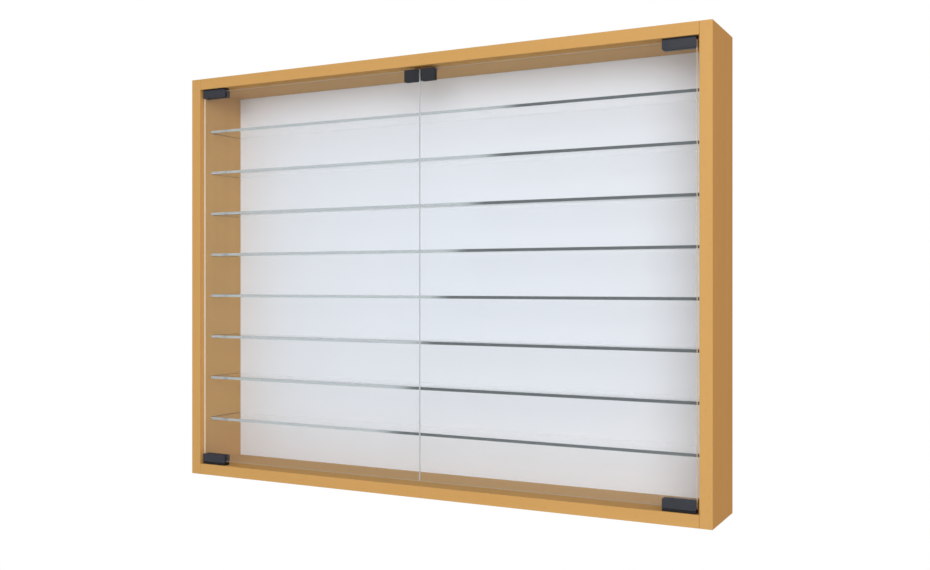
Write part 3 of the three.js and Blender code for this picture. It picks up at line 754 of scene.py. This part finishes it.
def level_board(name, level):
    node = f"{name}_panel"
    low, high = room(node)
    inner, outer = (low.z, high.z) if level > 0 else (high.z, low.z)
    board = block(low, high, level_laminate, arris=BOARD_ARRIS)
    refaced(board, chipboard, lambda normal: normal.y > SQUARE_ON or abs(normal.x) > SQUARE_ON)
    back_low, back_high = room("back_panel")
    back_edge = back_high.z + GROOVE_LONGER if level > 0 else back_low.z - GROOVE_LONGER
    cutters = [
        block(
            (low.x - OUTSIDE, back_low.y - CLEARANCE, inner - level * OUTSIDE),
            (high.x + OUTSIDE, back_high.y + CLEARANCE, back_edge),
            chipboard,
        )
    ]
    for side_name, side in SIDES.items():
        corner = f"{name}_{side_name}"
        end = high.x if side > 0 else low.x
        pivot = middle(f"hinge_pin_{corner}")
        cam_at = middle(f"cam_lock_{corner}")
        bolt_at = middle(f"cam_bolt_{corner}")
        peg_at = middle(f"dowel_{corner}")
        out, back, into = (0, 0, level), (0, 0, -level), (-side, 0, 0)
        cutters += [
            bore(BOSS_HOLE_RADIUS, (pivot.x, pivot.y, inner), out, BOSS_HOLE_DEPTH, chipboard),
            bore(CAM_HOLE_RADIUS, (cam_at.x, cam_at.y, outer), back, CAM_HOLE_DEPTH, chipboard),
            bore(BOLT_PASSAGE_RADIUS, (end, bolt_at.y, bolt_at.z), into, BOLT_PASSAGE_DEPTH, chipboard),
            bore(PEG_HOLE_RADIUS, (end, peg_at.y, peg_at.z), into, PEG_HOLE_IN_LEVEL, chipboard),
        ]
        if level > 0:
            screw = middle(f"latch_screw_{side_name}")
            mouth = (screw.x, screw.y, inner)
            cutters.append(bore(LATCH_PILOT_RADIUS, mouth, out, LATCH_PILOT_DEPTH, chipboard))
    fitted(cut(board, *cutters), f"{name}_board", node)


def back_board():
    """White in front, brown at the rear and on its edges."""
    low, high = room("back_panel")
    board = block(low, high, white_face, arris=BACK_ARRIS, steps=2)
    refaced(board, brown_rear, lambda normal: normal.y > -WHITE_ON)
    fitted(board, "back_board", "back_panel")


def shelf(number):
    node = f"glass_shelf_{number}"
    low, high = room(node)
    pane = block(low, high, shelf_glass, arris=SHELF_ARRIS, steps=2)
    refaced(pane, shelf_edge, lambda normal: normal.y < -SHELF_EDGE_ON)
    refaced(pane, door_glass, lambda normal: normal.y > SHELF_EDGE_ON)
    fitted(pane, f"shelf_pane_{number}", node)


# ---------------------------------------------------------------- corner joints

# Radius and distance from the cam's lower face, and from its upper face with the rim.
CAM_FOOT = [(0, 0), (6.9, 0), (7.5, 0.6)]
CAM_RIM = [(7.5, -0.5), (7.2, -0.1), (7.2, 0), (6.7, 0), (6.5, -0.4), (5.4, -0.4), (5.2, 0), (0, 0)]
# The passage for the bolt's head, open towards the bolt.
CAM_PASSAGE = ((-4, -3.9, -4.9), (9, 3.9, 3.9))
# Radius and distance from the tip of the bolt's thread.
BOLT_HEAD = [(0, -37.2), (1.9, -37.2), (2.9, -36.9), (3.2, -36.4), (3.2, -34.4), (2.9, -33.9), (2.2, -33.6)]
BOLT_SHANK = [(2, -15.5), (3.1, -14.9), (3.4, -14.6), (3.4, -11.6), (3.2, -11.4)]
BOLT_TIP = [(1.2, -0.4), (0.9, 0), (0, 0)]
# Radius and distance from either end of a peg.
PEG_END = [(0, 0), (2.9, 0), (3.6, 0.4), (4, 1.1)]
PEG_FLUTE = 0.25


def cam(corner, level, side):
    node = f"cam_lock_{corner}"
    low, high = room(node)
    half = (high.z - low.z) / 2
    foot = [(radius, along - half) for radius, along in CAM_FOOT]
    rim = [(radius, along + half) for radius, along in CAM_RIM]
    body = turned(foot + rim, cast_zinc)
    passage = block(*CAM_PASSAGE, cast_zinc)
    recess = cross_recess(span=8, width=1.6, depth=2, finish=cast_zinc)
    cut(body, passage, *(moved(cross, (0, 0, half)) for cross in recess))
    if level < 0:
        body.data.transform(Matrix.Rotation(math.pi, 4, "X"))
    if side < 0:
        body.data.transform(Matrix.Rotation(math.pi, 4, "Z"))
    fitted(moved(body, middle(node)), f"cam_{corner}", node)


def bolt(corner, side):
    node = f"cam_bolt_{corner}"
    at = middle(node)
    low, high = room(node)
    tip = high.x if side > 0 else low.x
    threaded = thread(outer=2.5, inner=1.9, start=-11.4, end=-1.8, pitch=1.2)
    body = turned(BOLT_HEAD + BOLT_SHANK + threaded + BOLT_TIP, bright_steel)
    fitted(moved(body, (tip, at.y, at.z), (side, 0, 0)), f"bolt_{corner}", node)


def peg(corner):
    node = f"dowel_{corner}"
    low, high = room(node)
    length = high.x - low.x
    far_end = [(radius, length - along) for radius, along in reversed(PEG_END)]
    body = turned(PEG_END + far_end, beech_peg, flute=PEG_FLUTE)
    at = middle(node)
    fitted(moved(body, (low.x, at.y, at.z), (1, 0, 0)), f"peg_{corner}", node)


# ---------------------------------------------------------------- hangers

HANGER_CORNER = 2
HANGER_ARRIS = 0.25
KEYHOLE_RADIUS = 4
KEYHOLE_DEPTH = 3
KEYHOLE_DROP = 7
KEYHOLE_RISE = 6
SLOT_HALF_WIDTH = 2.2
SLOT_CORNER = 2.15
# Radius and distance of the countersink, from inside the plate to outside it.
COUNTERSINK = [(0, 0), (1.8, 0), (1.8, 2.2), (3.4, 4), (3.4, 5), (0, 5)]
COUNTERSINK_REACH = 4
HANGER_SCREW_TIP = [(0, 0), (0.3, 0.2), (0.7, 1.2)]
# Radius and distance from the top of the head.
HANGER_SCREW_HEAD = [(1.5, -1.9), (2.9, -0.35), (3, -0.2), (2.9, -0.03), (2.6, 0), (0, 0)]


def hanger(name):
    node = f"hanger_plate_{name}"
    low, high = room(node)
    centre = middle(node)
    outline = rectangle(high.x - low.x, high.z - low.z, HANGER_CORNER, (centre.x, centre.z))
    body = softened(plate(outline, low.y, high.y, bright_steel), HANGER_ARRIS)
    drop = centre.z - KEYHOLE_DROP
    rise = centre.z + KEYHOLE_RISE + SLOT_HALF_WIDTH
    left, right = centre.x - SLOT_HALF_WIDTH, centre.x + SLOT_HALF_WIDTH
    corners = [(left, drop), (right, drop), (right, rise), (left, rise)]
    slot = rounded(corners, [0, 0, SLOT_CORNER, SLOT_CORNER])
    cutters = [
        bore(KEYHOLE_RADIUS, (centre.x, low.y, drop), (0, 1, 0), KEYHOLE_DEPTH, bright_steel),
        plate(slot, low.y - OUTSIDE, high.y + OUTSIDE, bright_steel),
    ]
    for level_name in LEVELS:
        screw = middle(f"hanger_screw_{level_name}_{name}")
        start = (screw.x, high.y - COUNTERSINK_REACH, screw.z)
        cutters.append(moved(turned(COUNTERSINK, bright_steel), start, (0, 1, 0)))
    fitted(cut(body, *cutters), f"hanger_{name}", node)


def hanger_fixing(corner):
    node = f"hanger_screw_{corner}"
    low, high = room(node)
    at = middle(node)
    length = high.y - low.y
    threaded = thread(outer=1.5, inner=1.05, start=1.4, end=length - 2.4, pitch=1.0)
    head = [(radius, length + along) for radius, along in HANGER_SCREW_HEAD]
    recess = cross_recess(span=3, width=0.8, depth=1.2, finish=bright_steel)
    body = turned(HANGER_SCREW_TIP + threaded + head, bright_steel)
    cut(body, *(moved(cross, (0, 0, length)) for cross in recess))
    fitted(moved(body, (at.x, low.y, at.z), (0, 1, 0)), f"hanger_fixing_{corner}", node)


# ---------------------------------------------------------------- doors

PANE_ARRIS = 0.4
# A face of a pane belongs to its edge when that part of its normal is larger than this.
EDGE_ON = 0.6
CLAMP_CORNER = 1.2
CLAMP_ARRIS = 0.6
PIN_BORE_RADIUS = 2.8
PIN_BORE_DEPTH = 13
TAPPED_RADIUS = 2.3
TAPPED_DEPTH = 6.5
# Radius and distance from the pin's end in the clamp, past its groove, and from its end in the bearing.
PIN_FOOT = [(0, 0), (1.9, 0), (2.3, 0.15), (2.5, 0.6), (2.5, 4.2), (2.4, 4.3), (2.4, 4.9), (2.5, 5)]
PIN_HEAD = [(2.5, -0.7), (2.3, -0.25), (1.8, 0), (0, 0)]
BASE_ARRIS = 0.3
BOSS_RADIUS = 4
BOSS_EASE = 0.5
# How much shorter the boss and its bore are than the whole bearing.
BOSS_SHORT = 0.5
BORE_SHORT = 0.7
BEARING_BORE_RADIUS = 2.8
BEARING_MOUTH_RADIUS = 3.2
BEARING_MOUTH_DEPTH = 0.5
GRUB_TIP_RADIUS = 1.5
GRUB_CORE_RADIUS = 1.7
GRUB_EASE = 0.3
GRUB_SOCKET = [(0, 0), (0.9, 0.4), (0.9, 3), (0, 3)]
GRUB_SOCKET_DEPTH = 2
STRIKE_SHEET = 0.6
STRIKE_OUTER_FOLD = 0.9
STRIKE_INNER_FOLD = 0.3
STRIKE_ARRIS = 0.15


def door_pane(name, side):
    node = f"door_glass_{name}"
    low, high = room(node)
    pane = block(low, high, door_glass, arris=PANE_ARRIS, steps=2)
    # Painted light on the outer edge and painted shade on the top and bottom edges.
    refaced(pane, meeting_edge, lambda normal: normal.x * side < -EDGE_ON)
    refaced(pane, painted_lit_outer_edge, lambda normal: normal.x * side > EDGE_ON)
    refaced(pane, painted_shade_level_edge, lambda normal: abs(normal.z) > EDGE_ON)
    fitted(pane, f"door_pane_{name}", node)


def clamp(corner, side, level):
    """Two walls that grip the pane, joined beyond its edge where the pivot pin sits."""
    node = f"hinge_clamp_{corner}"
    low, high = room(node)
    centre = middle(node)
    outline = rectangle(high.x - low.x, high.z - low.z, CLAMP_CORNER, (centre.x, centre.z))
    body = softened(plate(outline, low.y, high.y, plastic_black), CLAMP_ARRIS, 3)
    glass_low, glass_high = room(f"door_glass_{'left' if side < 0 else 'right'}")
    edge = glass_high.z + CLEARANCE if level > 0 else glass_low.z - CLEARANCE
    foot = low.z - OUTSIDE if level > 0 else high.z + OUTSIDE
    slot = block(
        (low.x - OUTSIDE, glass_low.y - CLEARANCE, edge),
        (high.x + OUTSIDE, glass_high.y + CLEARANCE, foot),
        plastic_black,
    )
    pin_at = middle(f"hinge_pin_{corner}")
    screw = middle(f"clamp_screw_{corner}")
    pin_bore = bore(PIN_BORE_RADIUS, (pin_at.x, pin_at.y, edge), (0, 0, level), PIN_BORE_DEPTH, plastic_black)
    tapped = bore(TAPPED_RADIUS, (screw.x, high.y, screw.z), (0, -1, 0), TAPPED_DEPTH, plastic_black)
    fitted(cut(body, slot, pin_bore, tapped), f"clamp_{corner}", node)


def pin(corner, level):
    node = f"hinge_pin_{corner}"
    low, high = room(node)
    at = middle(node)
    length = high.z - low.z
    head = [(radius, length + along) for radius, along in PIN_HEAD]
    start = low.z if level > 0 else high.z
    body = turned(PIN_FOOT + head, bright_steel)
    fitted(moved(body, (at.x, at.y, start), (0, 0, level)), f"pin_{corner}", node)


def bearing(corner, level):
    """Flat base on the board with a boss let into it, and a blind bore for the pivot pin."""
    node = f"hinge_bearing_{corner}"
    low, high = room(node)
    pin_at = middle(f"hinge_pin_{corner}")
    board_low, board_high = room("top_panel" if level > 0 else "bottom_panel")
    face = board_low.z if level > 0 else board_high.z
    free, sunk = (low.z, high.z) if level > 0 else (high.z, low.z)
    out = (0, 0, level)
    # The base takes the black plastic with painted shade.
    base = softened(block((low.x, low.y, face), (high.x, high.y, free), shaded_bearing_black), BASE_ARRIS)
    boss_length = abs(sunk - free) - BOSS_SHORT
    boss = turned(
        [(0, 0), (BOSS_RADIUS, 0), (BOSS_RADIUS, boss_length - BOSS_EASE)]
        + [(BOSS_RADIUS - BOSS_EASE, boss_length), (0, boss_length)],
        shaded_bearing_black,
    )
    joined(base, moved(boss, (pin_at.x, pin_at.y, sunk - level * boss_length), out))
    depth = abs(sunk - free) - BORE_SHORT
    hole = turned(
        [(0, -OUTSIDE), (BEARING_MOUTH_RADIUS, -OUTSIDE), (BEARING_MOUTH_RADIUS, 0)]
        + [(BEARING_BORE_RADIUS, BEARING_MOUTH_DEPTH), (BEARING_BORE_RADIUS, depth), (0, depth)],
        shaded_bearing_black,
    )
    cut(base, moved(hole, (pin_at.x, pin_at.y, free), out))
    fitted(base, f"bearing_{corner}", node)


def grub_screw(corner):
    node = f"clamp_screw_{corner}"
    low, high = room(node)
    at = middle(node)
    length = high.y - low.y
    threaded = thread(outer=2, inner=GRUB_CORE_RADIUS, start=GRUB_EASE, end=length - GRUB_EASE, pitch=0.7)
    tip, end = [(0, 0), (GRUB_TIP_RADIUS, 0)], [(GRUB_CORE_RADIUS, length), (0, length)]
    body = turned(tip + threaded + end, bright_steel)
    socket = turned(GRUB_SOCKET, bright_steel, steps=6)
    cut(body, moved(socket, (0, 0, length - GRUB_SOCKET_DEPTH)))
    fitted(moved(body, (at.x, low.y, at.z), (0, 1, 0)), f"grub_screw_{corner}", node)


def strike(name):
    """Folded steel clip over the pane's top edge."""
    node = f"strike_clip_{name}"
    low, high = room(node)
    front, rear = low.y + STRIKE_SHEET, high.y - STRIKE_SHEET
    section = rounded(
        [(low.y, low.z), (low.y, high.z), (high.y, high.z), (high.y, low.z)]
        + [(rear, low.z), (rear, high.z - STRIKE_SHEET), (front, high.z - STRIKE_SHEET), (front, low.z)],
        [0, STRIKE_OUTER_FOLD, STRIKE_OUTER_FOLD, 0, 0, STRIKE_INNER_FOLD, STRIKE_INNER_FOLD, 0],
    )
    body = drawn([(low.x, u, v) for u, v in section], [(high.x, u, v) for u, v in section], coated_steel)
    fitted(softened(body, STRIKE_ARRIS), f"strike_{name}", node)


# ---------------------------------------------------------------- latch

LATCH_REAR = -26
LATCH_ARRIS = 0.6
TAB_THICKNESS = 2.5
TAB_HALF_WIDTH = 8
TAB_CORNER = 2.5
TAB_ARRIS = 0.2
TAB_HOLE_RADIUS = 1.75
TAB_HOLE_DEPTH = 4
LATCH_LIP = 1.2
LIP_HOLE_RADIUS = 3.5
LIP_HOLE_LENGTH = 4.5
LATCH_BORE_RADIUS = 4.3
LATCH_BORE_LENGTH = 8.8
# Radius and distance from the front: the cup for the magnet, the shaft, the flange and the spring's seat.
PLUNGER_CUP = [(0, 1.8), (2.8, 1.8), (2.8, 0.25), (2.9, 0), (3.05, 0), (3.2, 0.2)]
PLUNGER_FLANGE = [(3.2, 3.6), (3.9, 3.6), (4, 3.7), (4, 5.1), (3.9, 5.2)]
PLUNGER_SEAT = [(1.5, 5.2), (1.5, 7.4), (1.2, 7.7), (0, 7.7)]
MAGNET_PROFILE = [(0, 0), (2.3, 0), (2.5, 0.2), (2.5, 1.3), (2.3, 1.5), (0, 1.5)]
WIRE_RADIUS = 0.3
SPRING_TURNS = 4
STEPS_PER_TURN = 24
STEPS_ROUND_WIRE = 8
LATCH_SCREW_HEAD = [(0, 0), (1.6, 0), (2.2, 0.25), (2.5, 0.7), (2.5, 1.5), (1.45, 1.5)]
LATCH_SCREW_TIP = [(0.6, 13.6), (0.2, 14.1), (0, 14.1)]


def latch_body():
    low, high = room("latch_housing")
    tab_low = high.z - TAB_THICKNESS
    body = softened(block(low, (high.x, LATCH_REAR, high.z), plastic_brown), LATCH_ARRIS, 3)
    front, rear = LATCH_REAR - OUTSIDE, high.y
    tab_outline = rounded(
        [(-TAB_HALF_WIDTH, front), (TAB_HALF_WIDTH, front), (TAB_HALF_WIDTH, rear), (-TAB_HALF_WIDTH, rear)],
        [0, 0, TAB_CORNER, TAB_CORNER],
    )
    lower, upper = ([(u, v, z) for u, v in tab_outline] for z in (tab_low, high.z))
    joined(body, softened(drawn(lower, upper, plastic_brown), TAB_ARRIS))
    cutters = []
    for name in SIDES:
        at = middle(f"latch_plunger_{name}")
        plunger_front = room(f"latch_plunger_{name}")[0].y
        behind_lip = low.y + LATCH_LIP
        screw = middle(f"latch_screw_{name}")
        cutters += [
            rod(LIP_HOLE_RADIUS, (at.x, plunger_front, at.z), (0, 1, 0), LIP_HOLE_LENGTH, plastic_brown),
            rod(LATCH_BORE_RADIUS, (at.x, behind_lip, at.z), (0, 1, 0), LATCH_BORE_LENGTH, plastic_brown),
            bore(TAB_HOLE_RADIUS, (screw.x, screw.y, tab_low), (0, 0, 1), TAB_HOLE_DEPTH, plastic_brown),
        ]
    fitted(cut(body, *cutters), "latch_body", "latch_housing")


def plunger(name):
    node = f"latch_plunger_{name}"
    front = room(node)[0].y
    at = middle(node)
    body = turned(PLUNGER_CUP + PLUNGER_FLANGE + PLUNGER_SEAT, plastic_black)
    fitted(moved(body, (at.x, front, at.z), (0, 1, 0)), f"plunger_{name}", node)


def magnet(name):
    node = f"latch_magnet_{name}"
    front = room(node)[0].y
    at = middle(node)
    body = turned(MAGNET_PROFILE, dark_magnet)
    fitted(moved(body, (at.x, front, at.z), (0, 1, 0)), f"magnet_{name}", node)


def spring(name):
    """Compression spring of round wire, coiled along Y between the ends of its node."""
    node = f"latch_spring_{name}"
    low, high = room(node)
    at = middle(node)
    radius = (high.x - low.x) / 2 - WIRE_RADIUS
    run = high.y - low.y - 2 * WIRE_RADIUS
    bm = bmesh.new()
    rings = []
    for i in range(SPRING_TURNS * STEPS_PER_TURN + 1):
        share = i / (SPRING_TURNS * STEPS_PER_TURN)
        angle = math.tau * SPRING_TURNS * share
        outward = Vector((math.cos(angle), 0, math.sin(angle)))
        centre = Vector((at.x, low.y + WIRE_RADIUS + run * share, at.z)) + outward * radius
        ring = []
        for k in range(STEPS_ROUND_WIRE):
            around = math.tau * k / STEPS_ROUND_WIRE
            across = outward * math.cos(around) + Vector((0, math.sin(around), 0))
            ring.append(bm.verts.new(centre + WIRE_RADIUS * across))
        rings.append(ring)
    for ring, following in zip(rings, rings[1:]):
        for k in range(STEPS_ROUND_WIRE):
            j = (k + 1) % STEPS_ROUND_WIRE
            bm.faces.new((ring[k], ring[j], following[j], following[k]))
    bm.faces.new(rings[0])
    bm.faces.new(rings[-1])
    coil = shape(bm, bright_steel)
    coil.data.transform(Matrix.Scale(MM, 4))
    coil.data.shade_smooth()
    coil.name = coil.data.name = f"spring_{name}"
    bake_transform(coil)
    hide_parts(node)


def latch_fixing(name):
    node = f"latch_screw_{name}"
    foot = room(node)[0].z
    at = middle(node)
    threaded = thread(outer=1.45, inner=1.05, start=2, end=12, pitch=1.0)
    recess = cross_recess(span=2.8, width=0.7, depth=1, finish=bright_steel)
    body = turned(LATCH_SCREW_HEAD + threaded + LATCH_SCREW_TIP, bright_steel)
    cut(body, *(moved(cross, (0, 0, 0), (0, 0, -1)) for cross in recess))
    fitted(moved(body, (at.x, at.y, foot)), f"latch_fixing_{name}", node)


# ---------------------------------------------------------------- the whole showcase

back_board()
for number in SHELVES:
    shelf(number)
for level_name, level in LEVELS.items():
    level_board(level_name, level)
for side_name, side in SIDES.items():
    side_board(side_name, side)
    hanger(side_name)
    door_pane(side_name, side)
    strike(side_name)
    plunger(side_name)
    magnet(side_name)
    spring(side_name)
    latch_fixing(side_name)
    for level_name, level in LEVELS.items():
        corner = f"{level_name}_{side_name}"
        cam(corner, level, side)
        bolt(corner, side)
        peg(corner)
        hanger_fixing(corner)
        clamp(corner, side, level)
        pin(corner, level)
        bearing(corner, level)
        grub_screw(corner)
latch_body()

# ---------------------------------------------------------------- studio

FLOOR_Z = -0.3
FLOOR_HALF = 8.0
FLOOR_SQUARES = 8
SOFT_LIGHT = 0.63
KEY_POWER = 42.0
KEY_WIDTH = 2.6
KEY_HEIGHT = 1.2
KEY_FROM = (1.2, -2.5, 1.0)
KEY_AT = (0, 0, 0.3)
SENSOR_WIDTH = 36
LENS_LENGTH = 39.53
LENS_SHIFT_X = -0.01806
LENS_SHIFT_Y = -0.0013
CAMERA_FROM = (0.7002, -1.2410, 0.2892)
CAMERA_TURN = 26.89


def white_to_the_eye(f):
    """1 for what is seen directly or in clear glass, 0 for light on the object."""
    seen = f.node("LightPath", out="Is Camera Ray")
    in_glass = f.node("LightPath", out="Is Singular Ray")
    return f.node("Math", {"operation": "MAXIMUM"}, {0: seen, 1: in_glass})


def studio_air():
    world = bpy.data.worlds.new("studio_air")
    bpy.context.scene.world = world
    f = Finish(world)
    strength = white_to_the_eye(f) * (1 - SOFT_LIGHT) + SOFT_LIGHT
    f.surface(f.node("Background", sockets={"Color": (1, 1, 1, 1), "Strength": strength}))


def floor():
    f = new_finish("floor_paper")
    paper = f.principled(Base_Color=(0.9, 0.9, 0.9, 1), Roughness=0.9)
    glow = f.node("Emission", sockets={"Color": (1, 1, 1, 1), "Strength": 1.0})
    f.surface(f.node("MixShader", sockets={0: white_to_the_eye(f), 1: paper, 2: glow}))
    bm = bmesh.new()
    bmesh.ops.create_grid(bm, x_segments=FLOOR_SQUARES, y_segments=FLOOR_SQUARES, size=FLOOR_HALF)
    made = shape(bm, f.owner)
    made.name = "floor"
    made.location.z = FLOOR_Z


def key_light():
    lamp = bpy.data.lights.new("key", "AREA")
    lamp.energy = KEY_POWER
    lamp.shape = "RECTANGLE"
    lamp.size = KEY_WIDTH
    lamp.size_y = KEY_HEIGHT
    made = bpy.data.objects.new("key", lamp)
    made.location = KEY_FROM
    aim = Vector(KEY_AT) - made.location
    made.rotation_euler = aim.to_track_quat("-Z", "Y").to_euler()
    bpy.context.scene.collection.objects.link(made)


def camera():
    """A level camera, turned to the left by an angle in degrees."""
    lens = bpy.data.cameras.new("camera")
    lens.lens = LENS_LENGTH
    lens.sensor_width = SENSOR_WIDTH
    lens.shift_x = LENS_SHIFT_X
    lens.shift_y = LENS_SHIFT_Y
    made = bpy.data.objects.new("camera", lens)
    made.location = CAMERA_FROM
    made.rotation_euler = (math.radians(90), 0, math.radians(CAMERA_TURN))
    bpy.context.scene.collection.objects.link(made)
    bpy.context.scene.camera = made


studio_air()
floor()
key_light()
camera()
bpy.context.scene.view_settings.view_transform = "Standard"
